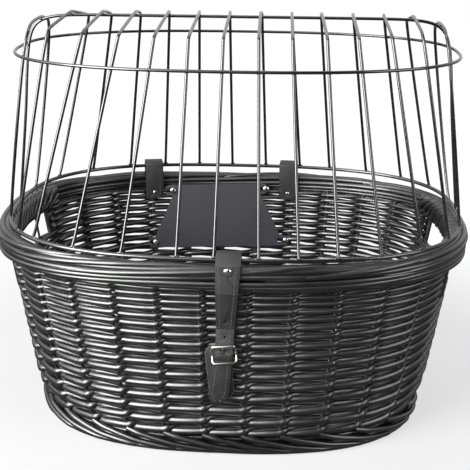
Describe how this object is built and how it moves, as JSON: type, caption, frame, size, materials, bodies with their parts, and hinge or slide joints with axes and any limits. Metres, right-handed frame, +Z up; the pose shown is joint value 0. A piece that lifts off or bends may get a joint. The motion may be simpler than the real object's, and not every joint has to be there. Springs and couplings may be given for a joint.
{
  "type": "dog bicycle basket",
  "caption": "Oval woven wicker basket for a small dog on a bicycle, with a hinged wire dome lid, hand holes, a plate at the back and a buckled front strap.",
  "frame": {"origin": "under the middle of the basket, on the surface it stands on", "axes": "+Z up, -Y the buckled front, +Y the back that faces the bicycle, +X along the long axis to the right as seen from the front"},
  "size_m": [0.4722, 0.3482, 0.3975],
  "materials": {
    "wicker": "black lacquered willow, satin",
    "wire": "gloss black powder coat",
    "leather": "black, fine grain",
    "nickel": "bright nickel plate",
    "plate": "dark grey, slightly grained"
  },
  "bodies": {
    "basket": {"wicker_wall": "wicker", "wicker_floor": "wicker", "foot_border": "wicker", "rim_border": "wicker", "hand_grip_left": "wicker", "hand_grip_right": "wicker", "hinge_strap_left": "leather", "hinge_strap_right": "leather", "hinge_rivet_left": "nickel", "hinge_rivet_right": "nickel", "anchor_strap": "leather", "anchor_patch": "leather", "anchor_rivet": "nickel", "anchor_washer": "nickel", "mounting_plate": "plate", "plate_screw_1": "nickel", "plate_screw_2": "nickel", "plate_screw_3": "nickel", "plate_screw_4": "nickel", "plate_nut_1": "nickel", "plate_nut_2": "nickel", "plate_nut_3": "nickel", "plate_nut_4": "nickel"},
    "lid": {"lid_base_ring": "wire", "lid_mid_hoop": "wire", "lid_ridge_wire": "wire", "lid_arch_01": "wire", "lid_arch_02": "wire", "lid_arch_03": "wire", "lid_arch_04": "wire", "lid_arch_05": "wire", "lid_arch_06": "wire", "lid_arch_07": "wire", "lid_arch_08": "wire", "lid_arch_09": "wire", "lid_arch_10": "wire", "lid_arch_11": "wire", "lid_arch_12": "wire", "lid_arch_13": "wire", "lid_arch_14": "wire"},
    "closure": {"closure_strap": "leather", "closure_rivet": "nickel"},
    "buckle": {"buckle_frame": "nickel"},
    "tongue": {"buckle_tongue": "nickel"}
  },
  "joints": [
    {"name": "lid_hinge", "type": "hinge", "parent": "basket", "child": "lid", "pos_m": [-0.1016, 0.15206, 0.203], "axis": [-0.999, -0.0443, 0], "range_deg": [0, 105], "deforming": ["closure_strap"]},
    {"name": "strap_swing", "type": "hinge", "parent": "lid", "child": "closure", "pos_m": [0.0066, -0.1603, 0.203], "axis": [-1, 0, 0], "range_deg": [0, 110], "deforming": ["closure_strap"]},
    {"name": "buckle_hinge", "type": "hinge", "parent": "basket", "child": "buckle", "pos_m": [0.0028, -0.1633, 0.1152], "axis": [0.9954, 0, 0.0958], "range_deg": [-12, 12], "deforming": ["closure_strap"]},
    {"name": "tongue_hinge", "type": "hinge", "parent": "buckle", "child": "tongue", "pos_m": [0.0028, -0.1633, 0.1152], "axis": [0.9954, 0, 0.0958], "range_deg": [0, 75], "deforming": ["closure_strap"]}
  ]
}
